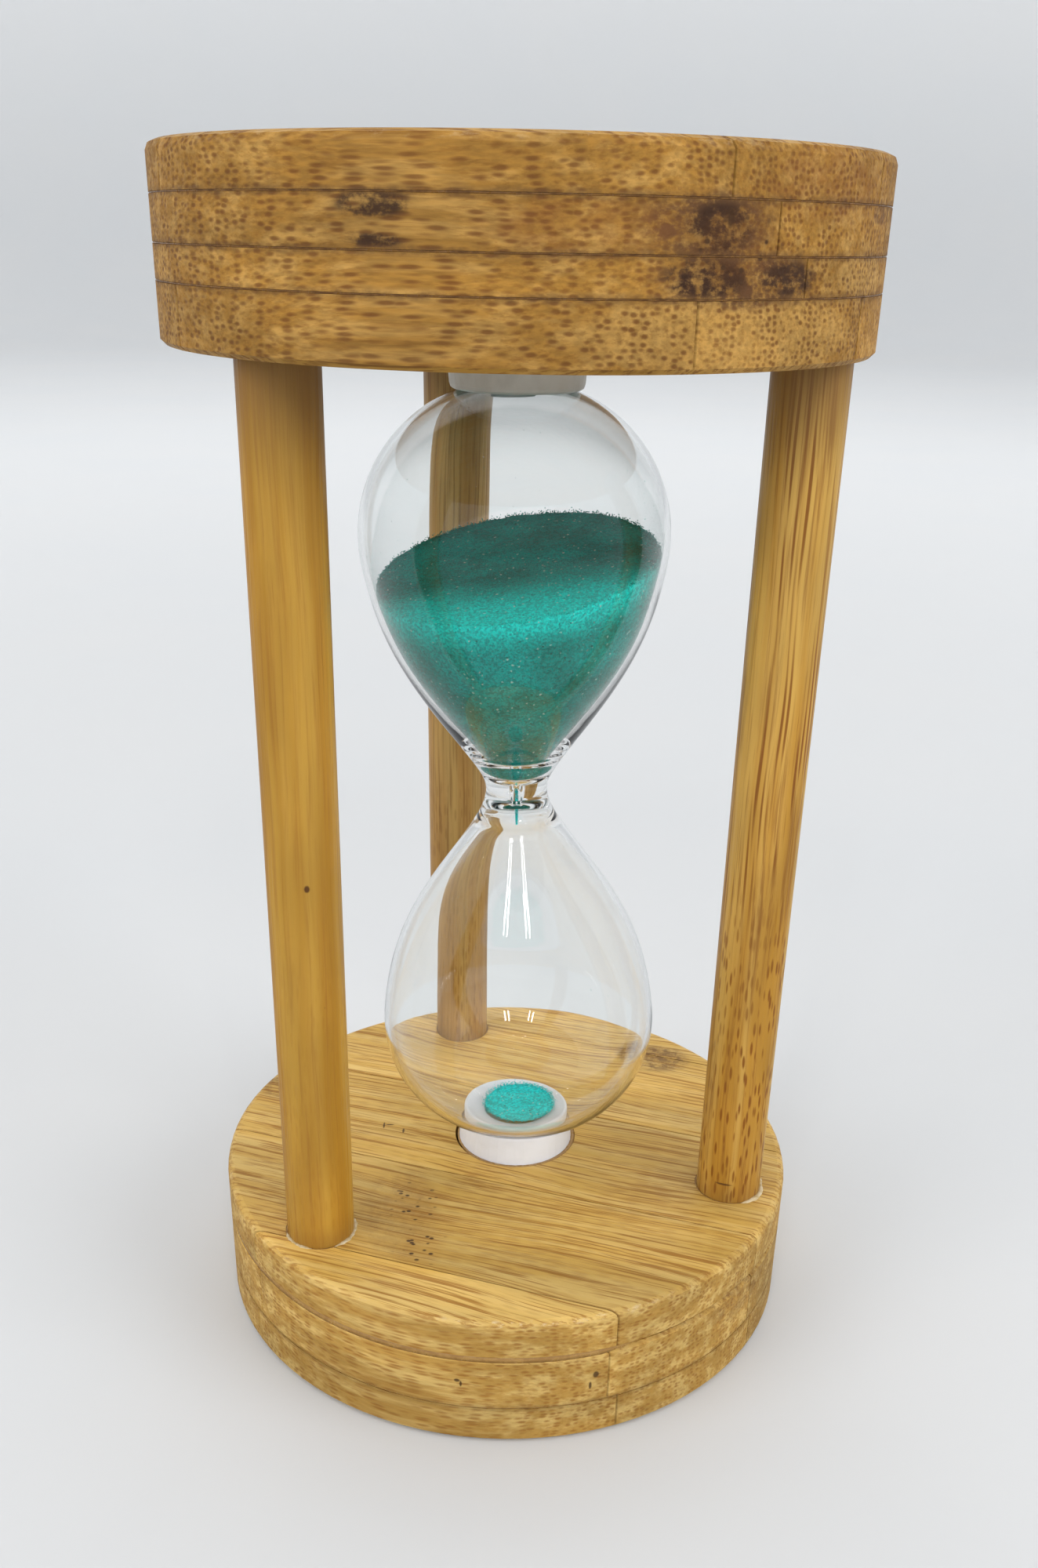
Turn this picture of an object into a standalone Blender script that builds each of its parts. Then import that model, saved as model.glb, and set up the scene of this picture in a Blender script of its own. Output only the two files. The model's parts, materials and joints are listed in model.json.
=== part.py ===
"""Sand timer: two laminated bamboo discs held apart by three dowels, and between them a blown
double bulb that sits in two plastic seats and holds coloured sand.

Metres, +Z up. The origin is the centre of the lower disc's underside, and the front of the timer
faces -Y. It is put together by hand: the seats are a little off centre, so the bulb leans.
"""

import math
from collections import namedtuple

import bmesh
import bpy
from mathutils import Matrix, Vector

MM = 0.001

# Discs: plies are listed from the bottom up
BASE_RADIUS = 42.0 * MM
TOP_RADIUS = 41.4 * MM
DISC_HEIGHT = 20.0 * MM
BASE_PLIES = (5.8 * MM, 8.1 * MM, 6.1 * MM)
TOP_PLIES = (6.5 * MM, 3.7 * MM, 4.8 * MM, 5.0 * MM)
CLEAR_HEIGHT = 112.6 * MM  # between the discs' inner faces
TOP_SHIFT = (-0.5 * MM, 0.2 * MM)  # how far the upper disc is off the lower one's axis
GRAIN_ANGLE = math.radians(-17.5)  # the strips run along this direction, seen from above
STRIP_PITCH = 21.5 * MM
BASE_FRONT_JOINTS = (-32.6 * MM, -33.5 * MM, -32.9 * MM)  # where each ply's first strip ends
TOP_FRONT_JOINTS = (-31.0 * MM, -20.8 * MM, -24.5 * MM, -29.0 * MM)
NARROWEST_STRIP = 4.0 * MM
OUTER_ROUNDING = 1.0 * MM  # each disc's upper rim, sanded over
OUTER_CHAMFER = 0.5 * MM  # each disc's lower rim
PLY_GROOVE = 0.45 * MM  # under the overhanging edge of the base's upper ply

# Dowels, glued into blind holes: where each one's foot and head are, in degrees from +X
DOWEL_RADIUS = 4.58 * MM
DOWEL_CIRCLE = 34.3 * MM
DOWEL_DEPTH = 12.0 * MM
DOWELS = {"left": (221.9, 221.9), "right": (341.6, 341.6), "back": (104.5, 105.7)}

# Seats: turned plastic rings, each dished to its end of the bulb and sunk until it meets it
LOWER_SEAT = (1.3 * MM, 1.5 * MM)
UPPER_SEAT = (-0.5 * MM, 0.2 * MM)
SEAT_BASE_RADIUS = 8.8 * MM
SEAT_LIP_RADIUS = 8.2 * MM
SEAT_BORE = 5.0 * MM
SEAT_HEIGHT = 7.05 * MM
SEAT_EDGE = 0.6 * MM
SEAT_LIP = 7.7 * MM  # where the dished face begins
RECESS_RADIUS = 9.2 * MM

# Double bulb. Each half flares from the neck with a slope, rounds over towards a limiting radius
# and closes with a cap. The halves are blown by hand and differ a little.
NECK_HEIGHT = 76.7 * MM
NECK_RADIUS = 4.16 * MM
Half = namedtuple("Half", "bend slope limit shoulder equator cap fullness")
LOWER = Half(3.4 * MM, 0.80, 20.8 * MM, 4.2, 33.0 * MM, 20.3 * MM, 2.25)
UPPER = Half(1.8 * MM, 0.774, 21.1 * MM, 4.05, 30.0 * MM, 22.1 * MM, 2.14)
CAP_CENTRE = 33.0 * MM  # from the neck to the middle of the sphere that each cap's end is part of
WALL_THIN = 0.65 * MM
WALL_GAIN = 1.6 * MM  # the wall thickens towards the neck
WALL_FADE = 9.0 * MM
CAP_WALL = 0.8 * MM
ORIFICE_RADIUS = 0.6 * MM
ORIFICE_HALF = 1.5 * MM
BOWL_HEIGHT = 3.0 * MM  # from the orifice to where the hollow's bowl is widest
BOWL_REACH = 4.0 * MM  # how much wider the bowl is there than the orifice, as a radius
FUNNEL_END = 5.8 * MM  # height at which the hollow has left its bowl
FILL_HOLE = 3.0 * MM
STOPPER_HEAD = 1.4 * MM
STOPPER_OVERHANG = 1.2 * MM
STOPPER_FOOT = 1.0 * MM  # how far the stopper reaches into the hollow

# Sand
SAND_LEVEL = 30.0 * MM  # above the neck, on the axis
SAND_SLOPE = (0.151, 0.164)  # rise to the right and to the back
SPARE_FILL = 6.0 * MM  # fill above the surface that is cut away, where the surface rises
HEAP_RADIUS = 5.2 * MM
HEAP_DOME = 0.2 * MM
STREAM_RADIUS = 0.3 * MM
STREAM_LENGTH = 7.8 * MM

GAP = 0.3 * MM  # between faces that touch or are glued
GLUE_LINE = 0.2 * MM  # between bamboo strips
WALL_GRIP = 0.4 * MM  # sand to glass, measured level, which is one gap square to the slope
STEPS = 40
BULB_STEPS = 32
DISC_STEPS = 96
HOLE_STEPS = 24
STREAM_STEPS = 12
CAP_RINGS = 6
HALVINGS = 40  # steps in closing in on a cap's height
OVERRUN = 5.0 * MM  # how far cutters and blanks run past the faces that they cut

HEIGHT = 2 * DISC_HEIGHT + CLEAR_HEIGHT
TOP_FACE = HEIGHT - DISC_HEIGHT  # height of the upper disc's inner face

# Colours
BAMBOO = (0.62, 0.37, 0.13)
TONE_SPREAD = 0.09  # how much lighter or darker one strip is than another
DOWEL_TONES = {"left": (0.66, 0.42, 0.16), "right": (0.50, 0.27, 0.09), "back": (0.47, 0.26, 0.1)}
SEAT_WHITE = (0.85, 0.84, 0.86)
GLASS_CLEAR = (0.95, 0.98, 0.97)
STOPPER_WHITE = (0.80, 0.80, 0.78)
SAND_TEAL = (0.02, 0.33, 0.27)


def start_clean():
    for obj in list(bpy.data.objects):
        bpy.data.objects.remove(obj, do_unlink=True)
    made = []
    for name in ("sand_timer", "cutters"):
        collection = bpy.data.collections.new(name)
        bpy.context.scene.collection.children.link(collection)
        made.append(collection)
    return made


PARTS, CUTTERS = start_clean()


# Making objects ------------------------------------------------------------------------------


def material(name, colour, roughness, transmission=0.0):
    mat = bpy.data.materials.new(name)
    mat.use_nodes = True
    shader = mat.node_tree.nodes["Principled BSDF"]
    shader.inputs["Base Color"].default_value = (*colour, 1.0)
    shader.inputs["Roughness"].default_value = roughness
    shader.inputs["Metallic"].default_value = 0.0
    shader.inputs["Transmission Weight"].default_value = transmission
    return mat


def add(name, mesh, mat=None, parent=None):
    """Links a mesh as a part, or as a cutter when it has no material."""
    obj = bpy.data.objects.new(name, mesh)
    if mat is None:
        CUTTERS.objects.link(obj)
        obj.hide_render = True
        obj.display_type = "WIRE"
    else:
        PARTS.objects.link(obj)
        mesh.materials.append(mat)
    obj.parent = parent
    return obj


def add_empty(name, location):
    obj = bpy.data.objects.new(name, None)
    obj.empty_display_size = 10 * MM
    obj.location = location
    PARTS.objects.link(obj)
    return obj


def aim(obj, direction):
    """Turns an object's own Z along a direction."""
    obj.rotation_mode = "QUATERNION"
    obj.rotation_quaternion = direction.to_track_quat("Z", "Y")


def mesh_from(bm, name):
    mesh = bpy.data.meshes.new(name)
    bm.to_mesh(mesh)
    bm.free()
    return mesh


def box_mesh(name, size, centre=(0.0, 0.0, 0.0)):
    bm = bmesh.new()
    placed = Matrix.Translation(centre) @ Matrix.Diagonal((*size, 1.0))
    bmesh.ops.create_cube(bm, size=1.0, matrix=placed)
    return mesh_from(bm, name)


def cylinder_mesh(name, pieces, steps):
    """One mesh of upright cylinders, each (x, y, bottom, top, radius)."""
    bm = bmesh.new()
    for x, y, bottom, top, radius in pieces:
        bmesh.ops.create_cone(
            bm, cap_ends=True, segments=steps, radius1=radius, radius2=radius,
            depth=top - bottom, matrix=Matrix.Translation((x, y, (top + bottom) / 2)),
        )
    return mesh_from(bm, name)


def lathe(name, profile, mat=None, parent=None, steps=STEPS, closed=False):
    """Turns a profile of (radius, height) points about Z; it runs down the outer side."""
    mesh = bpy.data.meshes.new(name)
    count = len(profile)
    edges = [(i, i + 1) for i in range(count - 1)] + ([(count - 1, 0)] if closed else [])
    mesh.from_pydata([(radius, 0.0, height) for radius, height in profile], edges, [])
    obj = add(name, mesh, mat, parent)
    screw = obj.modifiers.new("turned", "SCREW")
    screw.steps = screw.render_steps = steps
    screw.use_merge_vertices = True
    screw.merge_threshold = 0.01 * MM
    screw.use_smooth_shade = True
    return obj


def boolean(obj, cutter, operation="DIFFERENCE"):
    modifier = obj.modifiers.new(cutter.name, "BOOLEAN")
    modifier.operation = operation
    modifier.solver = "EXACT"
    modifier.object = cutter


def arc(radius, height, size, start, end, points):
    """Points of a rounded edge about (radius, height), from one angle to the other."""
    angles = (math.radians(start + (end - start) * i / (points - 1)) for i in range(points))
    return [(radius + size * math.cos(a), height + size * math.sin(a)) for a in angles]


def dowel_place(azimuth, height=0.0):
    angle = math.radians(azimuth)
    return Vector((DOWEL_CIRCLE * math.cos(angle), DOWEL_CIRCLE * math.sin(angle), height))


# The double bulb's surfaces, as radii at a height above (+) or below (-) the neck -----------------


def half_at(height):
    return UPPER if height > 0 else LOWER


def capped(radius, height, half, cap):
    """Draws a half's radius in to nothing over its cap."""
    share = max(0.0, min(1.0, (height - half.equator) / cap))
    return radius * math.sqrt(1 - share**half.fullness)


def flare(height):
    """The outside without its cap: a waist, then a cone that rounds over at the shoulder."""
    half = half_at(height)
    cone = NECK_RADIUS - half.bend + math.hypot(half.bend, half.slope * height)
    return cone * (1 + (cone / half.limit) ** half.shoulder) ** (-1 / half.shoulder)


def bulb_radius(height):
    half = half_at(height)
    return capped(flare(height), abs(height), half, half.cap)


def chamber_radius(height):
    """The hollow: a round bowl by the orifice, then the outer shape less its wall."""
    half, shell, height = half_at(height), flare(height), abs(height)
    if height <= ORIFICE_HALF + BOWL_HEIGHT:
        fall = (BOWL_HEIGHT + ORIFICE_HALF - height) / BOWL_HEIGHT
        return ORIFICE_RADIUS + BOWL_REACH * math.sqrt(max(0.0, 1 - fall**2))
    wall = WALL_THIN + WALL_GAIN * math.exp(-height / WALL_FADE)
    return capped(shell - wall, height, half, half.cap - CAP_WALL)


def cap_end(radius, half, surface):
    """Distance from the neck at which a surface has closed in to this radius over its cap."""
    side = 1 if half is UPPER else -1
    low, high = half.equator, half.equator + half.cap
    for _ in range(HALVINGS):
        middle = (low + high) / 2
        if surface(side * middle) > radius:
            low = middle
        else:
            high = middle
    return high


def outer_cap(radius, half):
    return cap_end(radius, half, bulb_radius)


def inner_cap(radius, half):
    return cap_end(radius, half, chamber_radius)


def spread(low, high, count, bias):
    """Heights from low to high, closer together towards low when the bias is over 1."""
    return [low + (high - low) * (i / (count - 1)) ** bias for i in range(count)]


def cap_stations(half, top):
    """Heights up a cap from just above its equator, closer together towards the top."""
    turns = (math.pi / 2 * i / CAP_RINGS for i in range(1, CAP_RINGS))
    return [half.equator + (top - half.equator) * math.sin(turn) for turn in turns]


def outer_stations(half, top):
    return spread(0.0, half.equator, 11, 1.5) + cap_stations(half, top)


def inner_stations(half, top):
    bowl = [ORIFICE_HALF + BOWL_HEIGHT * share for share in (0.0, 0.04, 0.16, 0.45, 1.0)]
    return bowl + spread(FUNNEL_END, half.equator, 6, 1.2) + cap_stations(half, top)


def seat_lip(side):
    """Height of a seat's lip, one gap clear of the bulb; side is 1 for the upper seat."""
    return NECK_HEIGHT + side * (outer_cap(SEAT_LIP, half_at(side)) + GAP)


# Discs ---------------------------------------------------------------------------------------


def base_edges(level, low, high):
    """A base ply's outer edges, (over, under): points down its rim, or None where it is sharp."""
    outer = BASE_RADIUS
    if level == len(BASE_PLIES):
        over = arc(outer - OUTER_ROUNDING, high - OUTER_ROUNDING, OUTER_ROUNDING, 90, 0, 4)
        return over, [(outer, low + PLY_GROOVE), (outer - PLY_GROOVE, low)]
    if level == 1:
        return None, [(outer, low + OUTER_CHAMFER), (outer - OUTER_CHAMFER, low)]
    return [(outer - PLY_GROOVE, high), (outer, high - PLY_GROOVE)], None


def top_edges(level, low, high):
    outer = TOP_RADIUS
    if level == len(TOP_PLIES):
        size = OUTER_ROUNDING
        return arc(outer - size, high - size, size, 90, 0, 3), None
    if level == 1:
        return None, [(outer, low + OUTER_CHAMFER), (outer - OUTER_CHAMFER, low)]
    return None, None


def strip_bounds(first, radius):
    """Glue lines across the grain, front to back, with the rim at both ends."""
    joints = []
    place = first
    while place < radius - NARROWEST_STRIP:
        joints.append(place)
        place += STRIP_PITCH
    return [-radius - GAP, *joints, radius + GAP]


def socket_cutters(name, face, inward, seat):
    """Cutters for a disc's dowel holes and for the recess that takes a seat."""
    past = face - inward * OVERRUN
    end = 0 if inward < 0 else 1
    recess = SEAT_HEIGHT + GAP - abs(face - seat_lip(inward))
    places = [dowel_place(azimuths[end]) for azimuths in DOWELS.values()]
    holes = [(place.x, place.y, DOWEL_RADIUS + GAP) for place in places]
    made = []
    for kind, depth, rounds, steps in (
        ("dowels", DOWEL_DEPTH, holes, HOLE_STEPS),
        ("recess", recess, [(*seat, RECESS_RADIUS)], STEPS),
    ):
        low, high = sorted((past, face + inward * depth))
        pieces = [(x, y, low, high, radius) for x, y, radius in rounds]
        cutter = add(f"{name}_{kind}", cylinder_mesh(f"{name}_{kind}", pieces, steps))
        made.append((cutter, low, high))
    return made


def laminate(name, plies, firsts, radius, centre, edges, cutters):
    """One disc: each ply is a row of bamboo strips, cut to the disc's outline and bored."""
    across, back, low = centre
    for level, (thickness, first) in enumerate(zip(plies, firsts), 1):
        floor = low + (GLUE_LINE / 2 if level > 1 else 0.0)
        roof = low + thickness - (GLUE_LINE / 2 if level < len(plies) else 0.0)
        over, under = edges(level, floor, roof)
        outline = [(0.0, roof), *(over or [(radius, roof)])]
        outline += [*(under or [(radius, floor)]), (0.0, floor)]
        disc = lathe(f"{name}_ply_{level}_outline", outline, steps=DISC_STEPS)
        disc.location = (across, back, 0.0)
        bounds = strip_bounds(first, radius)
        for row, (near, far) in enumerate(zip(bounds, bounds[1:]), 1):
            node = f"{name}_ply_{level}_strip_{row}"
            tone = 1.0 + TONE_SPREAD * math.sin(2.3 * level + 1.9 * row)
            size = (2 * (radius + OVERRUN), far - near - GLUE_LINE, thickness + OVERRUN)
            blank = box_mesh(node, size, (0.0, (near + far) / 2, 0.0))
            strip = add(node, blank, material(node, [part * tone for part in BAMBOO], 0.55))
            strip.location = (across, back, (floor + roof) / 2)
            strip.rotation_euler = (0.0, 0.0, GRAIN_ANGLE)
            boolean(strip, disc, "INTERSECT")
            for cutter, reach_low, reach_high in cutters:
                if floor < reach_high and roof > reach_low:
                    boolean(strip, cutter)
        low += thickness


# Frame and seats -----------------------------------------------------------------------------


def build_dowels():
    """Each dowel runs from its foot in the base to its head in the upper disc."""
    for side, (foot_azimuth, head_azimuth) in DOWELS.items():
        name = f"dowel_{side}"
        foot = dowel_place(foot_azimuth, DISC_HEIGHT)
        head = dowel_place(head_azimuth, TOP_FACE)
        reach = (head - foot).length / 2 + DOWEL_DEPTH - GAP
        mesh = cylinder_mesh(name, [(0.0, 0.0, -reach, reach, DOWEL_RADIUS)], STEPS)
        mesh.shade_smooth()
        mesh.set_sharp_from_angle(angle=math.radians(40))
        dowel = add(name, mesh, material(name, DOWEL_TONES[side], 0.4))
        dowel.location = (foot + head) / 2
        aim(dowel, head - foot)


def seat_profile(half):
    """A ring that stands on z = 0 with its dished face up, following the cap it carries."""
    edge = arc(SEAT_LIP_RADIUS - SEAT_EDGE, SEAT_HEIGHT - SEAT_EDGE, SEAT_EDGE, 75, 0, 3)
    dish = [
        (radius, SEAT_HEIGHT - outer_cap(radius, half) + outer_cap(SEAT_LIP, half))
        for radius in (SEAT_BORE, (SEAT_BORE + SEAT_LIP) / 2)
    ]
    return [(SEAT_LIP, SEAT_HEIGHT), *edge, (SEAT_BASE_RADIUS, 0.0), (SEAT_BORE, 0.0), *dish]


def build_seats():
    for name, side, place in (("lower_seat", -1, LOWER_SEAT), ("upper_seat", 1, UPPER_SEAT)):
        plastic = material(name, SEAT_WHITE, 0.35)
        seat = lathe(name, seat_profile(half_at(side)), plastic, closed=True)
        seat.location = (*place, seat_lip(side) + side * SEAT_HEIGHT)
        seat.rotation_euler = (math.pi if side > 0 else 0.0, 0.0, 0.0)


# Bulb and sand, which turn together --------------------------------------------------------------


def bulb_profile():
    """(radius, height above the neck): up the hollow, out through the fill hole, down outside."""
    tip = outer_cap(0.0, LOWER)
    inner_tip = inner_cap(0.0, LOWER)
    hole_top, hole_bottom = outer_cap(FILL_HOLE, UPPER), inner_cap(FILL_HOLE, UPPER)
    points = [(0.0, -inner_tip)]
    points += [(chamber_radius(-h), -h) for h in reversed(inner_stations(LOWER, inner_tip))]
    points += [(chamber_radius(h), h) for h in inner_stations(UPPER, hole_bottom)]
    points += [(FILL_HOLE, hole_bottom), (FILL_HOLE, hole_top)]
    points += [(bulb_radius(h), h) for h in reversed(outer_stations(UPPER, hole_top))]
    points += [(bulb_radius(-h), -h) for h in outer_stations(LOWER, tip)[1:]]
    return points + [(0.0, -tip)]


def build_bulb(turning):
    glass = material("glass_bulb", GLASS_CLEAR, 0.0, transmission=1.0)
    lathe("glass_bulb", bulb_profile(), glass, turning, BULB_STEPS)
    rest = outer_cap(FILL_HOLE, UPPER) + GAP
    foot = inner_cap(FILL_HOLE, UPPER) - STOPPER_FOOT
    top = rest + STOPPER_HEAD
    stem, head = FILL_HOLE - GAP, FILL_HOLE + STOPPER_OVERHANG
    profile = [(0.0, top), (head, top), (head, rest), (stem, rest), (stem, foot), (0.0, foot)]
    plastic = material("fill_stopper", STOPPER_WHITE, 0.5)
    lathe("fill_stopper", profile, plastic, turning, HOLE_STEPS)


def sand_material(name):
    return material(name, SAND_TEAL, 0.9)


def build_fill(turning):
    """The upper sand fills the hollow and is then cut off along its sloping surface."""
    top = SAND_LEVEL + SPARE_FILL
    heights = [h for h in inner_stations(UPPER, inner_cap(0.0, UPPER)) if ORIFICE_HALF < h < top]
    profile = [(0.0, top), (chamber_radius(top) - WALL_GRIP, top)]
    profile += [(chamber_radius(h) - WALL_GRIP, h + GAP) for h in reversed(heights)]
    profile += [(0.0, ORIFICE_HALF + GAP)]
    name = "sand_upper"
    sand = lathe(name, profile, sand_material(name), turning, BULB_STEPS)

    side = 3 * UPPER.limit
    surface = add("sand_surface", box_mesh("sand_surface", (side,) * 3, (0, 0, side / 2)))
    surface.location = turning.location + Vector((0.0, 0.0, SAND_LEVEL))
    aim(surface, Vector((-SAND_SLOPE[0], -SAND_SLOPE[1], 1.0)))
    boolean(sand, surface)


def build_heap(turning):
    """The first grains in the lower bulb: a low dome over the cap's inside."""
    rim = GAP - inner_cap(HEAP_RADIUS, LOWER)
    profile = [(0.0, rim + HEAP_DOME)]
    profile += [(HEAP_RADIUS * share, rim + HEAP_DOME * (1 - share**2)) for share in (0.6, 0.9)]
    profile += [(HEAP_RADIUS, rim)]
    under = (HEAP_RADIUS * share for share in (0.8, 0.5, 0.25))
    profile += [(radius, GAP - inner_cap(radius, LOWER)) for radius in under]
    profile += [(0.0, GAP - inner_cap(0.0, LOWER))]
    lathe("sand_lower", profile, sand_material("sand_lower"), turning, BULB_STEPS)


def build_stream(turning):
    """The falling thread, from inside the orifice to where it thins out."""
    top, bottom = ORIFICE_HALF, ORIFICE_HALF - STREAM_LENGTH
    profile = [(0.0, top), (STREAM_RADIUS, top), (STREAM_RADIUS, bottom), (0.0, bottom)]
    lathe("sand_stream", profile, sand_material("sand_stream"), turning, STREAM_STEPS)


def add_turning():
    """The bulb's own axis: it crosses the neck and passes over the middle of both seats."""
    lower = Vector((*LOWER_SEAT, NECK_HEIGHT - CAP_CENTRE))
    upper = Vector((*UPPER_SEAT, NECK_HEIGHT + CAP_CENTRE))
    turning = add_empty("glass_spin", (lower + upper) / 2)
    aim(turning, upper - lower)
    return turning


laminate("base", BASE_PLIES, BASE_FRONT_JOINTS, BASE_RADIUS, (0.0, 0.0, 0.0), base_edges,
         socket_cutters("base", DISC_HEIGHT, -1, LOWER_SEAT))
laminate("top", TOP_PLIES, TOP_FRONT_JOINTS, TOP_RADIUS, (*TOP_SHIFT, TOP_FACE), top_edges,
         socket_cutters("top", TOP_FACE, 1, UPPER_SEAT))
build_dowels()
build_seats()
glass_spin = add_turning()
build_bulb(glass_spin)
build_fill(glass_spin)
build_heap(glass_spin)
build_stream(glass_spin)
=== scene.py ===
"""Looks for the sand timer: bamboo, glass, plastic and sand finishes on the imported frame, finer
glass and sand, glue in the joints, a pale round stage, soft lights and the camera.

Metres, +Z up, in the row frame. Patterns are worked out in millimetres.
"""

import json
import math
import random
from collections import namedtuple

import bmesh
import bpy
from mathutils import Matrix, Vector, noise


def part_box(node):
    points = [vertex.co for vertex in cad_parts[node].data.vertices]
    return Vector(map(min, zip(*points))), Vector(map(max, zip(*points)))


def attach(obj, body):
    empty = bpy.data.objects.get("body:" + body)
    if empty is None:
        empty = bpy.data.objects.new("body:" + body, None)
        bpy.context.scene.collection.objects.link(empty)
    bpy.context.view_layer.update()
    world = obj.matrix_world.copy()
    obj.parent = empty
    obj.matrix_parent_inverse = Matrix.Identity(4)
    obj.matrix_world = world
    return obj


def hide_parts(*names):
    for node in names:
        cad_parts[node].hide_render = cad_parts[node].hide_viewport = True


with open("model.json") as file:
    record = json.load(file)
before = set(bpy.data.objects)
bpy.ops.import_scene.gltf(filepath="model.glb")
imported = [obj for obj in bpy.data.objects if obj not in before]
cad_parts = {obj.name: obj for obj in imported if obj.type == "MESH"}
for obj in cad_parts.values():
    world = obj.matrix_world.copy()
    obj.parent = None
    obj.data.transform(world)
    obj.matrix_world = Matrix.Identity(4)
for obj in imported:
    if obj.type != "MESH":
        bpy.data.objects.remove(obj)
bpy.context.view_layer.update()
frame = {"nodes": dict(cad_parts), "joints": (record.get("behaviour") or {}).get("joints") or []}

MM = 0.001
GRAIN_TURN = math.radians(17.5)  # turns the row frame's X onto the discs' grain
PLY_GAP = 0.2 * MM
random.seed(7)

# Layout, read from the CAD frame ------------------------------------------------------------------


def middle(node):
    low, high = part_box(node)
    return (low + high) / 2


def span(nodes):
    """Lowest and highest corner of several nodes together."""
    boxes = [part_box(node) for node in nodes]
    low = Vector([min(box[0][i] for box in boxes) for i in range(3)])
    high = Vector([max(box[1][i] for box in boxes) for i in range(3)])
    return low, high


def nodes_of(start):
    return sorted(name for name in frame["nodes"] if name.startswith(start))


BASE_NODES, TOP_NODES = nodes_of("base_ply"), nodes_of("top_ply")
BASE_LOW, BASE_HIGH = span(BASE_NODES)
TOP_LOW, TOP_HIGH = span(TOP_NODES)
BASE_RADIUS = (BASE_HIGH.x - BASE_LOW.x) / 2
TOP_RADIUS = (TOP_HIGH.x - TOP_LOW.x) / 2
TOP_CENTRE = (TOP_LOW + TOP_HIGH) / 2
DOWEL_LOW, DOWEL_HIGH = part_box("dowel_left")
DOWEL_RADIUS = (DOWEL_HIGH.x - DOWEL_LOW.x) / 2
JOINT = frame["joints"][0]
PIVOT = Vector(JOINT["pos_m"])
TURN_AXIS = Vector(JOINT["axis"]).normalized()
TILT = Matrix.Translation(PIVOT) @ TURN_AXIS.to_track_quat("Z", "Y").to_matrix().to_4x4()
SAND_SLOPE = (0.151, 0.164)  # rise to the right and to the back
SURFACE_POINT = PIVOT + Vector((0.0, 0.0, 30.0 * MM))  # a point in the sand's sloping surface


def ply_levels(nodes):
    """Heights at which a disc's plies meet."""
    tops = sorted({round(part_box(node)[1].z, 4) for node in nodes})
    return [level + PLY_GAP / 2 for level in tops[:-1]]


BASE_LEVELS, TOP_LEVELS = ply_levels(BASE_NODES), ply_levels(TOP_NODES)


# Building meshes ----------------------------------------------------------------------------------


def around(radius, angle, height):
    """The point at a radius and an angle about Z, at a height."""
    return Vector((radius * math.cos(angle), radius * math.sin(angle), height))


def degrees_from(angle, direction):
    """Degrees between an angle in radians and a direction in degrees."""
    return abs((math.degrees(angle) - direction + 180) % 360 - 180)


def new_object(name, verts, faces, mat, smooth=True):
    mesh = bpy.data.meshes.new(name)
    mesh.from_pydata([tuple(v) for v in verts], [], faces)
    mesh.polygons.foreach_set("use_smooth", [smooth] * len(mesh.polygons))
    mesh.materials.append(mat)
    obj = bpy.data.objects.new(name, mesh)
    bpy.context.scene.collection.objects.link(obj)
    return obj


def add_mesh(name, verts, faces, mat, slot, body, smooth=True):
    """A piece that rides on a body, with its faces turned outwards."""
    obj = new_object(name, verts, faces, mat, smooth)
    solid = bmesh.new()
    solid.from_mesh(obj.data)
    bmesh.ops.recalc_face_normals(solid, faces=solid.faces)
    solid.to_mesh(obj.data)
    solid.free()
    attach(obj, body)
    return obj


def turned(profile, steps, offset=None):
    """Verts and faces of a profile of (radius, height) turned about Z; radius 0 is a pole.
    offset(angle, radius, height) gives extra radius."""
    verts, rings = [], []
    for radius, height in profile:
        if radius <= 1e-7:
            rings.append([len(verts)])
            verts.append(Vector((0.0, 0.0, height)))
            continue
        ring = []
        for step in range(steps):
            angle = 2 * math.pi * step / steps
            wide = radius + (offset(angle, radius, height) if offset else 0.0)
            ring.append(len(verts))
            verts.append(around(wide, angle, height))
        rings.append(ring)
    faces = []
    for lower, upper in zip(rings, rings[1:]):
        for step in range(steps):
            after = (step + 1) % steps
            if len(lower) == 1 and len(upper) > 1:
                faces.append((lower[0], upper[after], upper[step]))
            elif len(upper) == 1 and len(lower) > 1:
                faces.append((lower[step], lower[after], upper[0]))
            elif len(lower) > 1 and len(upper) > 1:
                faces.append((lower[step], lower[after], upper[after], upper[step]))
    return verts, faces


def closed_rings(verts, steps, first_pole, last_pole):
    """Faces of a solid whose verts are equal rings from one pole to the other. Adds the poles."""
    rings = len(verts) // steps
    first, last, end = len(verts), len(verts) + 1, (rings - 1) * steps
    verts += [first_pole, last_pole]
    faces = []
    for step in range(steps):
        after = (step + 1) % steps
        faces.append((after, step, first))
        for near in range(0, end, steps):
            far = near + steps
            faces.append((near + step, near + after, far + after, far + step))
        faces.append((end + step, end + after, last))
    return faces


# Materials ----------------------------------------------------------------------------------------


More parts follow.
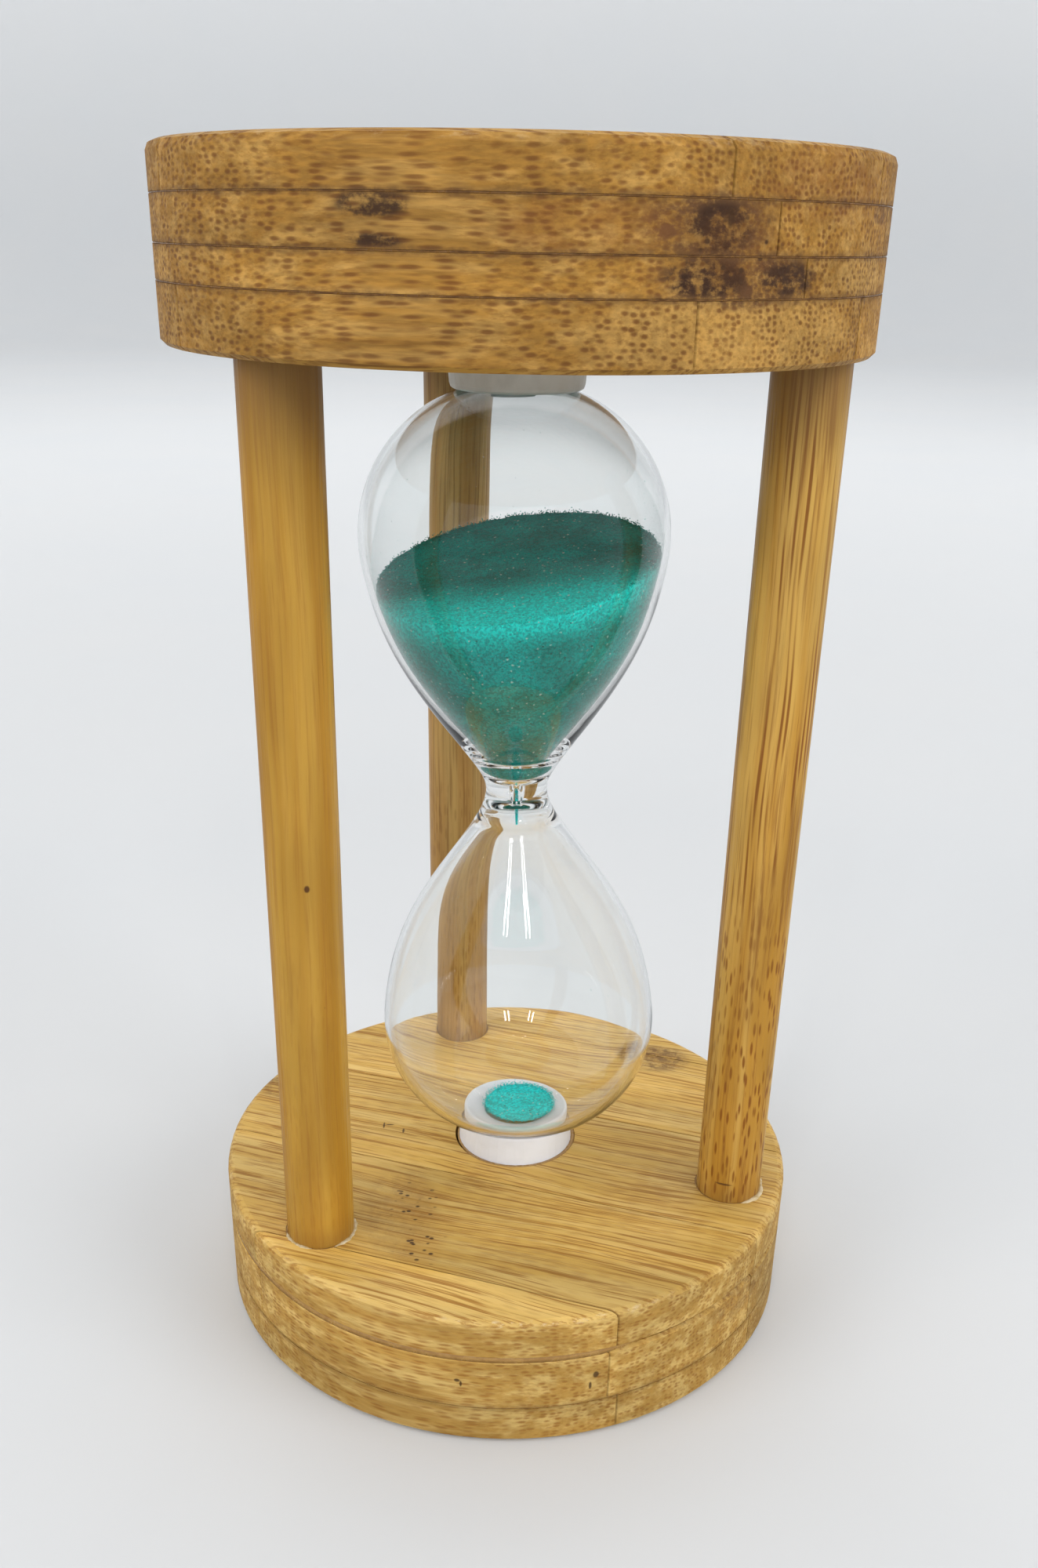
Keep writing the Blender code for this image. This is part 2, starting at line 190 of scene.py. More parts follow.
class Finish:
    """One Principled material and short calls that add nodes to it."""

    def __init__(self, name, roughness=0.5, **sockets):
        self.material = bpy.data.materials.new(name)
        self.material.use_nodes = True
        self.tree = self.material.node_tree
        self.shader = self.tree.nodes["Principled BSDF"]
        self.shader.inputs["Roughness"].default_value = roughness
        for socket, value in sockets.items():
            self.shader.inputs[socket.replace("_", " ")].default_value = value

    def node(self, kind, inputs=(), **settings):
        made = self.tree.nodes.new("ShaderNode" + kind)
        for key, value in settings.items():
            setattr(made, key, value)
        for key, value in dict(inputs).items():
            self.feed(made.inputs[key], value)
        return made

    def feed(self, socket, value):
        if isinstance(value, bpy.types.NodeSocket):
            self.tree.links.new(value, socket)
        else:
            socket.default_value = value

    def math(self, operation, first, second=0.0):
        return self.node("Math", {0: first, 1: second}, operation=operation).outputs[0]

    def vector(self, operation, first, second=(0.0, 0.0, 0.0)):
        made = self.node("VectorMath", {0: first}, operation=operation)
        if operation == "SCALE":
            self.feed(made.inputs["Scale"], second)
        elif operation != "LENGTH":
            self.feed(made.inputs[1], second)
        return made.outputs["Value" if operation == "LENGTH" else "Vector"]

    def remap(self, value, start, end, low=0.0, high=1.0):
        inputs = {"Value": value, "From Min": start, "From Max": end, "To Min": low, "To Max": high}
        return self.node("MapRange", inputs, interpolation_type="SMOOTHSTEP").outputs["Result"]

    def noise(self, place, scale, detail=2.0, rough=0.5):
        """Noise over a place in mm; scale is cycles per mm, a number or one for each axis."""
        if not isinstance(scale, (int, float)):
            place, scale = self.vector("MULTIPLY", place, scale), 1.0
        inputs = {"Vector": place, "Scale": scale, "Detail": detail, "Roughness": rough}
        return self.node("TexNoise", inputs).outputs[0]

    def cells(self, place, scale, randomness=1.0, output="Distance"):
        stretched = self.vector("MULTIPLY", place, scale)
        inputs = {"Vector": stretched, "Scale": 1.0, "Randomness": randomness}
        return self.node("TexVoronoi", inputs).outputs[output]

    def mix(self, share, first, second):
        """Blends two colours; the node's inputs 6 and 7 and its output 2 are the colour sockets."""
        made = self.node("Mix", {0: share}, data_type="RGBA")
        for index, value in ((6, first), (7, second)):
            if not isinstance(value, bpy.types.NodeSocket):
                value = (*value, 1.0)
            self.feed(made.inputs[index], value)
        return made.outputs[2]

    def tone(self, colour, factor):
        """Makes a colour lighter or darker by a number socket."""
        return self.vector("SCALE", colour, factor)

    def place(self):
        """Position in mm: the row frame's for a CAD node or a piece modelled in place."""
        return self.vector("SCALE", self.node("TexCoord").outputs["Object"], 1000.0)

    def parts(self, vector):
        return self.node("SeparateXYZ", {0: vector}).outputs

    def join(self, x, y, z):
        return self.node("CombineXYZ", {0: x, 1: y, 2: z}).outputs[0]

    def bent(self, place, scale, reach):
        """A place in mm, moved by slow noise by up to about half of reach along each axis."""
        stretched = self.vector("MULTIPLY", place, scale)
        slow = self.node("TexNoise", {"Vector": stretched, "Scale": 1.0, "Detail": 1.0})
        away = self.vector("SUBTRACT", slow.outputs["Color"], (0.5, 0.5, 0.5))
        return self.vector("ADD", place, self.vector("MULTIPLY", away, reach))

    def from_axis(self, place, centre=(0.0, 0.0)):
        """Distance in mm from an upright axis."""
        x, y, _ = self.parts(self.vector("SUBTRACT", place, (*centre, 0.0)))
        return self.vector("LENGTH", self.join(x, y, 0.0))

    def blob(self, place, centre, size, edge=0.45):
        """1 inside an ellipsoid, fading to 0 over its outer share."""
        away = self.vector("SUBTRACT", place, centre)
        away = self.vector("DIVIDE", away, size)
        return self.remap(self.vector("LENGTH", away), 1.0, 1.0 - edge)

    def bump(self, height, depth, strength):
        """Bump from a height of 0 to 1 that stands for depth, in mm."""
        inputs = {"Height": height, "Distance": depth * MM, "Strength": strength}
        made = self.node("Bump", inputs)
        self.feed(self.shader.inputs["Normal"], made.outputs[0])

    def paint(self, colour, roughness=None):
        self.feed(self.shader.inputs["Base Color"], colour)
        if roughness is not None:
            self.feed(self.shader.inputs["Roughness"], roughness)
        return self.material


# Colours of a laminated disc, its sizes in mm, and how strong its dirt and its mottle are
DiscLook = namedtuple("DiscLook", "name pale face side streak radius centre levels top soil mottle")
PIT_BROWN = (0.07, 0.03, 0.01)
SPECK_BROWN = (0.06, 0.025, 0.008)
DIRT_BROWN = (0.11, 0.05, 0.016)
WORN_PALE = (0.72, 0.56, 0.33)
TORN_RIM = ((5.0, -38.5, 19.6), (17.0, 7.0, 1.5))  # the most worn stretch of the base's upper edge


def stained(finish, place, cloud, colour, stains):
    """Mottled stains, each of a centre, a size, how strong it is and its colour."""
    mottled = finish.remap(cloud, 0.38, 0.6, 0.25, 1.0)
    for centre, size, share, tint in stains:
        mask = finish.math("MULTIPLY", finish.blob(place, centre, size), mottled)
        colour = finish.mix(finish.math("MULTIPLY", mask, share), colour, tint)
    return colour


def speckled(finish, place, colour, streak, bands, specks):
    """The bamboo's node bands, with dark pits in them, and single dark specks."""
    pits = finish.remap(finish.cells(place, (0.62, 0.9, 0.8)), 0.27, 0.13)
    for centre, size in bands:
        band = finish.blob(place, centre, size, 0.6)
        colour = finish.mix(finish.math("MULTIPLY", band, 0.22), colour, streak)
        colour = finish.mix(finish.math("MULTIPLY", band, pits), colour, PIT_BROWN)
    for centre, size in specks:
        mask = finish.blob(place, centre, size, 0.5)
        colour = finish.mix(finish.math("MULTIPLY", mask, 0.85), colour, SPECK_BROWN)
    return colour


def weathered(finish, place, cloud, colour, look):
    """Dirt where the plies meet, and a worn, paler upper rim."""
    radius = finish.from_axis(place, look.centre)
    height = finish.parts(place)[2]
    outer = finish.remap(radius, look.radius - 1.6, look.radius - 0.4)
    for level in look.levels:
        near = finish.math("ABSOLUTE", finish.math("SUBTRACT", height, level))
        soil = finish.math("MULTIPLY", finish.remap(near, 0.75, 0.1), outer)
        soil = finish.math("MULTIPLY", soil, finish.remap(cloud, 0.3, 0.7, 0.1, look.soil))
        colour = finish.mix(soil, colour, DIRT_BROWN)
    rim = finish.math("MULTIPLY", finish.remap(radius, look.radius - 1.1, look.radius - 0.35),
                      finish.remap(height, look.top - 1.1, look.top - 0.25))
    chips = finish.remap(finish.noise(place, (0.5, 0.5, 1.6), 5.0, 0.75), 0.52, 0.66)
    torn = finish.remap(finish.blob(place, *TORN_RIM, 0.5), 0.0, 1.0, 0.22, 0.85)
    worn = finish.math("MULTIPLY", finish.math("MULTIPLY", rim, chips), torn)
    return finish.mix(worn, colour, WORN_PALE)


def bamboo_disc(look, stains, bands, specks, pale_marks):
    """Laminated bamboo. Bundles of fibres run along the grain: dots where the rim cuts across
    them, streaks where it runs along them, and long fine lines on a disc's face."""
    finish = Finish(look.name, 0.5, Specular_IOR_Level=0.3)
    place = finish.place()
    grain = finish.node("Mapping", {"Vector": place, "Rotation": (0, 0, GRAIN_TURN)}).outputs[0]
    strip = finish.parts(finish.node("ObjectInfo").outputs["Color"])
    shift = finish.join(finish.math("MULTIPLY", strip[1], 90.0), 0.0, 0.0)
    grain = finish.vector("ADD", finish.bent(grain, (0.022, 0.06, 0.06), (0, 5.0, 2.4)), shift)

    normal = finish.parts(finish.node("NewGeometry").outputs["Normal"])
    flat = finish.remap(finish.math("ABSOLUTE", normal[2]), 0.5, 0.85)
    fine = finish.noise(grain, (0.03, 2.1, 2.2), 4.0, 0.65)
    pores = finish.remap(finish.cells(grain, (0.07, 1.9, 1.9)), 0.3, 0.1)
    medium = finish.noise(grain, (0.018, 0.55, 0.6), 3.0, 0.55)
    broad = finish.noise(grain, (0.03, 0.11, 0.16), 2.0)
    bundle = finish.cells(grain, (0.3, 1.5, 1.65), 0.6)
    dots = finish.remap(bundle, 0.52, 0.16)  # the cut ends of the bundles
    density = finish.remap(finish.noise(grain, (0.02, 0.16, 0.3), 1.0), 0.36, 0.6, 0.8, 1.0)
    dots = finish.math("MULTIPLY", dots, density)

    colour = finish.mix(flat, look.side, look.face)
    colour = finish.mix(finish.remap(medium, 0.42, 0.66, 0.0, 0.7), colour, look.pale)
    for centre, size, share in pale_marks:
        mask = finish.math("MULTIPLY", finish.blob(place, centre, size, 0.25), share)
        colour = finish.mix(mask, colour, look.pale)
    mottle = finish.noise(grain, (0.3, 1.9, 2.1), 2.0, 0.6)
    mottle = finish.remap(mottle, 0.3, 0.7, -look.mottle, look.mottle)
    mottle = finish.math("MULTIPLY", mottle, finish.remap(flat, 0.0, 1.0, 1.0, 0.2))
    colour = finish.tone(colour, finish.math("ADD", mottle, 1.0))
    lines = finish.math("MULTIPLY", finish.remap(fine, 0.5, 0.62), finish.remap(flat, 0.0, 1.0, 0.3, 0.85))
    lines = finish.math("MAXIMUM", lines, finish.math("MULTIPLY", pores, finish.math("MULTIPLY", flat, 0.7)))
    colour = finish.mix(lines, colour, look.streak)
    ink = finish.math("MULTIPLY", dots, finish.remap(flat, 0.0, 1.0, 0.8, 0.25))
    colour = finish.mix(ink, colour, look.streak)
    level = finish.remap(broad, 0.3, 0.7, 0.86, 1.12)
    level = finish.math("MULTIPLY", level, finish.remap(strip[0], 0.0, 1.0, 0.88, 1.12))
    colour = finish.tone(colour, level)

    cloud = finish.noise(place, (0.55, 0.55, 0.8), 4.0, 0.7)
    colour = stained(finish, place, cloud, colour, stains)
    colour = speckled(finish, place, colour, look.streak, bands, specks)
    colour = weathered(finish, place, cloud, colour, look)

    sawn = finish.noise(place, (1.8, 1.8, 3.4), 3.0, 0.7)
    height = finish.math("ADD", finish.math("MULTIPLY", fine, 0.5), finish.math("MULTIPLY", sawn, 0.35))
    height = finish.math("SUBTRACT", height, finish.math("MULTIPLY", dots, 0.35))
    finish.bump(height, 0.12, 0.75)
    gloss = finish.remap(fine, 0.3, 0.7, 0.36, 0.58)
    gloss = finish.math("ADD", gloss, finish.remap(flat, 0.0, 1.0, 0.14, 0.0))
    return finish.paint(colour, gloss)


SPECK_RED = (0.09, 0.03, 0.01)
# Brown that darkens a dowel towards its foot, and the painted shade under the top disc at its head
HEAD_SHADE_AND_FOOT_BROWN = (0.20, 0.10, 0.03)


def bamboo_dowel(name, base, pale, streak, dashes, contrast, specks=()):
    """A turned dowel: fine fibres along its length, with bundles that are long above and break
    into short dashes below. contrast is how strongly the fibres show, dashes the bundles."""
    finish = Finish(name, 0.4, Specular_IOR_Level=0.35)
    place = finish.place()
    height = finish.parts(place)[2]
    grain = finish.bent(place, (0.12, 0.12, 0.03), (1.6, 1.6, 0))
    fine = finish.noise(grain, (2.4, 2.4, 0.035), 4.0, 0.65)
    broad = finish.noise(grain, (0.35, 0.35, 0.012), 2.0)
    patch = finish.noise(grain, (0.2, 0.2, 0.05), 2.0)
    colour = finish.mix(finish.remap(broad, 0.36, 0.64), base, pale)
    colour = finish.mix(finish.remap(fine, 0.48, 0.68, 0.0, contrast * 0.6), colour, streak)
    long_run = finish.remap(finish.cells(grain, (1.9, 1.9, 0.028), 0.95), 0.44, 0.2)
    short_run = finish.remap(finish.cells(grain, (1.75, 1.75, 0.3), 0.8), 0.42, 0.2)
    low = finish.remap(height, 74.0, 56.0)  # 1 where the bundles are short
    runs = finish.math("MULTIPLY", long_run, finish.remap(low, 0.0, 1.0, 1.0, 0.0))
    runs = finish.math("MAXIMUM", runs, finish.math("MULTIPLY", short_run, low))
    runs = finish.math("MULTIPLY", runs, finish.remap(patch, 0.3, 0.55, 0.5, 1.0))
    colour = finish.mix(finish.math("MULTIPLY", runs, dashes), colour, streak)
    for centre, size in specks:
        mask = finish.blob(place, centre, size, 0.5)
        colour = finish.mix(finish.math("MULTIPLY", mask, 0.9), colour, SPECK_RED)
    # Darker towards the foot; at the head, painted shade where the top disc shades the dowel
    foot = finish.remap(height, BASE_HIGH.z / MM + 4.5, BASE_HIGH.z / MM, 0.0, 0.35)
    head = finish.remap(height, TOP_LOW.z / MM - 14.6, TOP_LOW.z / MM, 0.0, 0.75)
    colour = finish.mix(finish.math("MAXIMUM", foot, head), colour, HEAD_SHADE_AND_FOOT_BROWN)
    colour = finish.tone(colour, finish.remap(patch, 0.3, 0.7, 0.9, 1.08))
    finish.bump(finish.math("SUBTRACT", fine, finish.math("MULTIPLY", runs, 0.4)), 0.07, 0.6)
    return finish.paint(colour, finish.remap(fine, 0.3, 0.7, 0.3, 0.5))


PAINTED_LIGHT_TEAL = (0.004, 0.74, 0.65)
PALE_GRAIN = (0.45, 0.72, 0.66)
DARK_GRAIN = (0.01, 0.07, 0.05)


def sand_finish(name, deep, bright, edge=None):
    """Fine dyed grains: each a little lighter or darker, a few of them pale or dark. Painted light:
    just below the sloping surface, through the point edge, the front of the sand is painted brighter."""
    finish = Finish(name, 0.85, Specular_IOR_Level=0.1)
    place = finish.place()
    size = (4.2, 4.2, 4.2)
    seeds = finish.parts(finish.cells(place, size, output="Color"))
    grains = finish.cells(place, size)
    cloud = finish.noise(place, 0.16, 3.0)
    colour = finish.mix(finish.remap(cloud, 0.35, 0.65), deep, bright)
    if edge is not None:
        x, y, z = finish.parts(finish.vector("SUBTRACT", place, edge))
        rise = finish.math("MULTIPLY", x, SAND_SLOPE[0])
        rise = finish.math("ADD", rise, finish.math("MULTIPLY", y, SAND_SLOPE[1]))
        depth = finish.math("SUBTRACT", z, rise)
        # Painted light: a brighter band just under the surface, towards the front of the glass
        band = finish.math("MULTIPLY", finish.remap(depth, -4.5, -0.3), finish.remap(y, -3.0, -13.0))
        colour = finish.mix(band, colour, PAINTED_LIGHT_TEAL)
    colour = finish.tone(colour, finish.remap(seeds[0], 0.0, 1.0, 0.72, 1.22))
    colour = finish.mix(finish.remap(seeds[1], 0.985, 0.995, 0.0, 0.7), colour, PALE_GRAIN)
    colour = finish.mix(finish.remap(seeds[2], 0.985, 0.995, 0.0, 0.6), colour, DARK_GRAIN)
    finish.bump(finish.remap(grains, 0.0, 0.7, 1.0, 0.0), 0.12, 0.8)
    return finish.paint(colour, finish.remap(seeds[0], 0.0, 1.0, 0.7, 0.95))


def plastic_finish(name, colour, shade):
    """Satin moulded plastic with a faint mottle and a slightly uneven skin."""
    finish = Finish(name, 0.35)
    place = finish.place()
    mottle = finish.noise(place, 0.5, 4.0)
    skin = finish.noise(place, 3.2, 3.0, 0.6)
    tint = finish.mix(finish.remap(mottle, 0.35, 0.7, 0.0, 0.5), colour, shade)
    finish.bump(skin, 0.04, 0.35)
    return finish.paint(tint, finish.remap(mottle, 0.3, 0.7, 0.3, 0.46))


def glass_finish():
    """Blown glass: clear, with faint smears, specks of dust and a slow ripple in its skin."""
    finish = Finish("clear_glass_blown", 0.0, Transmission_Weight=1.0, IOR=1.47)
    place = finish.place()
    smear = finish.noise(place, (0.09, 0.09, 0.05), 4.0, 0.6)
    dust = finish.remap(finish.cells(place, (0.42, 0.42, 0.42)), 0.045, 0.025)
    rough = finish.math("ADD", finish.remap(smear, 0.52, 0.75, 0.0, 0.035),
                        finish.math("MULTIPLY", dust, 0.25))
    tint = finish.mix(finish.remap(smear, 0.5, 0.75, 0.0, 1.0), (0.985, 0.997, 0.992),
                      (0.96, 0.975, 0.97))
    ripple = finish.noise(place, (0.07, 0.07, 0.12), 2.0)
    finish.bump(ripple, 0.10, 0.25)
    return finish.paint(tint, rough)


def glue_finish(name, colour, dark):
    """Dried glue, cloudy and a little glossy."""
    finish = Finish(name, 0.3)
    cloud = finish.noise(finish.place(), 0.9, 4.0, 0.6)
    finish.bump(cloud, 0.1, 0.5)
    tint = finish.mix(finish.remap(cloud, 0.35, 0.65), colour, dark)
    return finish.paint(tint, finish.remap(cloud, 0.3, 0.7, 0.22, 0.45))


BASE_LOOK = DiscLook(
    name="bamboo_base_laminate",
    pale=(0.68, 0.47, 0.16),
    face=(0.59, 0.36, 0.083),
    side=(0.44, 0.25, 0.053),
    streak=(0.31, 0.135, 0.021),
    radius=BASE_RADIUS / MM,
    centre=(0.0, 0.0),
    levels=[level / MM for level in BASE_LEVELS],
    top=BASE_HIGH.z / MM,
    soil=0.4,
    mottle=0.06,
)
TOP_LOOK = DiscLook(
    name="bamboo_top_laminate",
    pale=(0.48, 0.27, 0.066),
    face=(0.40, 0.215, 0.035),
    side=(0.33, 0.16, 0.023),
    streak=(0.15, 0.05, 0.006),
    radius=TOP_RADIUS / MM,
    centre=(TOP_CENTRE.x / MM, TOP_CENTRE.y / MM),
    levels=[level / MM for level in TOP_LEVELS],
    top=TOP_HIGH.z / MM,
    soil=0.7,
    mottle=0.16,
)
BROWN, SOOT, RUST = (0.13, 0.055, 0.018), (0.05, 0.022, 0.01), (0.22, 0.075, 0.015)
base_bamboo = bamboo_disc(
    BASE_LOOK,
    stains=[
        ((-15.0, -19.0, 20.0), (6.5, 13.0, 3.0), 0.22, BROWN),
        ((25.0, 24.5, 20.0), (6.5, 5.0, 3.0), 0.75, BROWN),
        ((-36.5, 14.0, 20.0), (4.0, 5.0, 3.0), 0.5, BROWN),
        ((33.0, -26.0, 12.0), (9.0, 9.0, 3.5), 0.4, BROWN),
    ],
    bands=[
        ((-13.0, -17.0, 20.0), (4.8, 7.5, 2.0)),
        ((-11.5, -26.5, 20.0), (4.5, 5.5, 2.0)),
    ],
    specks=[
        ((-19.0, 2.8, 20.0), (0.2, 1.0, 1.0)),
        ((-18.1, 3.0, 20.0), (0.8, 0.2, 1.0)),
        ((-15.9, 1.4, 20.0), (0.22, 0.8, 1.0)),
        ((-5.9, -41.6, 10.2), (0.5, 1.0, 0.35)),
        ((-5.4, -41.6, 9.7), (0.22, 1.0, 0.6)),
        ((12.3, -40.2, 10.3), (0.5, 1.0, 0.7)),
        ((11.6, -40.4, 8.6), (0.25, 1.0, 0.8)),
        ((-31.5, -6.5, 20.0), (0.9, 0.25, 1.0)),
    ],
    pale_marks=[
        ((-2.0, -37.0, 20.0), (26.0, 5.5, 2.5), 0.5),
        ((24.5, -10.5, 20.0), (4.2, 5.2, 1.0), 0.35),
    ],
)
top_bamboo = bamboo_disc(
    TOP_LOOK,
    stains=[
        ((17.0, -37.2, 145.4), (9.5, 8.0, 3.6), 0.95, BROWN),
        ((20.5, -35.5, 140.8), (12.5, 11.0, 3.2), 1.0, BROWN),
        ((18.0, -36.8, 145.2), (4.4, 4.6, 2.9), 1.0, SOOT),
        ((17.0, -37.2, 140.9), (5.6, 5.6, 2.2), 1.0, SOOT),
        ((25.5, -32.2, 140.9), (4.6, 5.4, 2.0), 0.9, SOOT),
        ((6.0, -40.6, 145.0), (13.0, 4.0, 3.0), 0.35, RUST),
        ((30.0, -28.0, 149.0), (13.0, 13.0, 4.0), 0.4, RUST),
        ((-14.0, -39.0, 146.6), (5.2, 3.4, 1.5), 0.95, SOOT),
        ((-13.6, -39.0, 143.6), (3.6, 3.0, 0.75), 0.95, SOOT),
        ((37.0, -18.0, 146.8), (2.5, 5.0, 1.3), 0.7, BROWN),
    ],
    bands=[((20.0, -36.0, 143.6), (8.0, 6.0, 4.2))],
    specks=[((18.9, -36.4, 146.2), (0.5, 0.6, 1.3))],
    pale_marks=[
        ((35.0, -22.0, 141.2), (5.5, 8.0, 2.2), 0.8),
        ((22.0, -35.0, 136.0), (22.0, 16.0, 4.0), 0.6),
    ],
)
dowel_finishes = {
    "dowel_left": bamboo_dowel(
        "bamboo_dowel_smooth", (0.42, 0.205, 0.021), (0.49, 0.27, 0.039), (0.30, 0.11, 0.010), 0.16, 0.6,
        specks=[((-24.5, -27.4, 73.5), (0.45, 0.45, 0.6)), ((-23.2, -26.6, 57.0), (0.25, 0.25, 0.35))],
    ),
    "dowel_right": bamboo_dowel(
        "bamboo_dowel_streaked", (0.46, 0.23, 0.030), (0.58, 0.345, 0.076), (0.22, 0.07, 0.007), 0.9, 1.0,
        specks=[((27.9, -14.6, 24.0), (1.4, 1.2, 0.25)), ((31.0, -15.2, 23.0), (1.6, 1.2, 0.22))],
    ),
    "dowel_back": bamboo_dowel(
        "bamboo_dowel_dark", (0.41, 0.225, 0.06), (0.50, 0.32, 0.10), (0.18, 0.075, 0.014), 0.45, 0.9,
    ),
}
seat_plastic = plastic_finish("white_plastic_satin", (0.88, 0.90, 0.94), (0.82, 0.835, 0.865))
# Painted shade: a darker, yellower copy of the white plastic for the upper seat, which sits in the shade of
# the top disc
seat_plastic_shaded = plastic_finish("white_plastic_painted_shade", (0.62, 0.58, 0.50), (0.52, 0.48, 0.40))
stopper_plastic = plastic_finish("stopper_plastic_matte", (0.72, 0.72, 0.70), (0.60, 0.60, 0.57))
sand_body = sand_finish("teal_sand_body", (0.002, 0.28, 0.225), (0.003, 0.41, 0.35), SURFACE_POINT / MM)
# Painted light: a much brighter copy of the teal sand, for the heap and the falling thread under the glass
sand_lit_copy = sand_finish("teal_sand_heap_painted_light", (0.003, 0.68, 0.66), (0.004, 0.77, 0.75))
glass = glass_finish()
glue_dark = glue_finish("glue_line_brown", (0.26, 0.13, 0.04), (0.16, 0.07, 0.02))
glue_tan = glue_finish("glue_line_tan", (0.43, 0.25, 0.08), (0.34, 0.18, 0.05))
glue_clear = glue_finish("glue_bead_pale", (0.66, 0.55, 0.36), (0.50, 0.36, 0.16))


def dress(node, mat):
    """Gives a CAD node its finish, and a colour of its own that a bamboo finish reads."""
    obj = frame["nodes"][node]
    obj.data.materials.clear()
    obj.data.materials.append(mat)
    seed = random.Random(node)
    obj.color = (seed.random(), seed.random(), seed.random(), 1.0)


for node_name in BASE_NODES:
    dress(node_name, base_bamboo)
for node_name in TOP_NODES:
    dress(node_name, top_bamboo)
for node_name, finish_used in dowel_finishes.items():
    dress(node_name, finish_used)
dress("lower_seat", seat_plastic)
# The upper seat wears the painted-shade copy of the white plastic
dress("upper_seat", seat_plastic_shaded)
dress("fill_stopper", stopper_plastic)
# Tones of the strips that the view shows, from strip 1 on: 0 is darkest and 1 is palest
STRIP_TONES = {
    "base_ply_3": (0.95, 0.45, 0.6),
    "top_ply_1": (0.5, 0.5),
    "top_ply_2": (0.85, 0.4),
    "top_ply_3": (0.45, 0.5),
    "top_ply_4": (0.5, 0.5),
}
for ply, tones in STRIP_TONES.items():
    for number, tone_value in enumerate(tones, 1):
        frame["nodes"][f"{ply}_strip_{number}"].color[0] = tone_value


# Glass --------------------------------------------------------------------------------------------

# Each half of the bulb is a cone that rounds off towards a limit and closes in a cap
NECK_RADIUS = 4.16 * MM
Half = namedtuple("Half", "bend slope limit shoulder equator cap fullness")
LOWER = Half(3.4 * MM, 0.80, 20.8 * MM, 4.2, 33.0 * MM, 20.3 * MM, 2.25)
UPPER = Half(1.8 * MM, 0.774, 21.1 * MM, 4.05, 30.0 * MM, 22.1 * MM, 2.14)
WALL_THIN, WALL_GAIN, WALL_FADE, CAP_WALL = 0.65 * MM, 1.6 * MM, 9.0 * MM, 0.8 * MM
ORIFICE_RADIUS, ORIFICE_HALF = 0.6 * MM, 1.5 * MM
BOWL_HEIGHT, BOWL_REACH, FUNNEL_END = 3.0 * MM, 4.0 * MM, 5.8 * MM
FILL_HOLE = 3.0 * MM
GLASS_STEPS = 128


def half_at(height):
    return UPPER if height > 0 else LOWER


def capped(radius, height, half, cap):
    share = max(0.0, min(1.0, (height - half.equator) / cap))
    return radius * math.sqrt(max(0.0, 1 - share**half.fullness))


def flare(height):
    half = half_at(height)
    cone = NECK_RADIUS - half.bend + math.hypot(half.bend, half.slope * height)
    return cone * (1 + (cone / half.limit) ** half.shoulder) ** (-1 / half.shoulder)


def bulb_radius(height):
    half = half_at(height)
    return capped(flare(height), abs(height), half, half.cap)


def chamber_radius(height):
    """The inside: an orifice, a bowl on each side of it, then a wall that thins towards the belly."""
    half, shell, height = half_at(height), flare(height), abs(height)
    if height <= ORIFICE_HALF + BOWL_HEIGHT:
        fall = (BOWL_HEIGHT + ORIFICE_HALF - height) / BOWL_HEIGHT
        return ORIFICE_RADIUS + BOWL_REACH * math.sqrt(max(0.0, 1 - fall**2))
    wall = WALL_THIN + WALL_GAIN * math.exp(-height / WALL_FADE)
    return capped(shell - wall, height, half, half.cap - CAP_WALL)


def cap_end(radius, half, surface):
    """Distance from the neck at which a surface has closed in to this radius over its cap."""
    side = 1 if half is UPPER else -1
    low, high = half.equator, half.equator + half.cap
    for _ in range(40):
        centre = (low + high) / 2
        if surface(side * centre) > radius:
            low = centre
        else:
            high = centre
    return high


def hollow(height):
    """The hollow's radius, with the step between its bowl and its cone drawn out smoothly."""
    side, level = math.copysign(1, height), abs(height)
    start, end = ORIFICE_HALF + BOWL_HEIGHT, FUNNEL_END
    if not start < level < end:
        return chamber_radius(height)
    low, high = chamber_radius(side * start), chamber_radius(side * end)
    ahead = 0.1 * MM  # over which the cone's slope is measured
    rise = (chamber_radius(side * (end + ahead)) - high) / ahead * (end - start)
    t = (level - start) / (end - start)
    return (1 + 2 * t) * (1 - t) ** 2 * low + t * t * (3 - 2 * t) * high + t * t * (t - 1) * rise


def stations(half, top, start, count, rings):
    """Heights of the rings of points: count of them up the cone, the others over the cap."""
    cone = [start + (half.equator - start) * (i / count) ** 1.25 for i in range(count + 1)]
    turns = (math.pi / 2 * i / rings for i in range(1, rings))
    return cone + [half.equator + (top - half.equator) * math.sin(turn) for turn in turns]


def bowl_stations():
    count = 12
    return [ORIFICE_HALF + BOWL_HEIGHT * (i / count) ** 2 for i in range(count)]


def wave(angle, radius, height):
    """Extra radius of the inside, because blown glass is a little uneven."""
    ripple = noise.noise(around(1.3, angle, height / (11 * MM)))
    return 0.05 * MM * ripple * min(1.0, radius / (8 * MM))


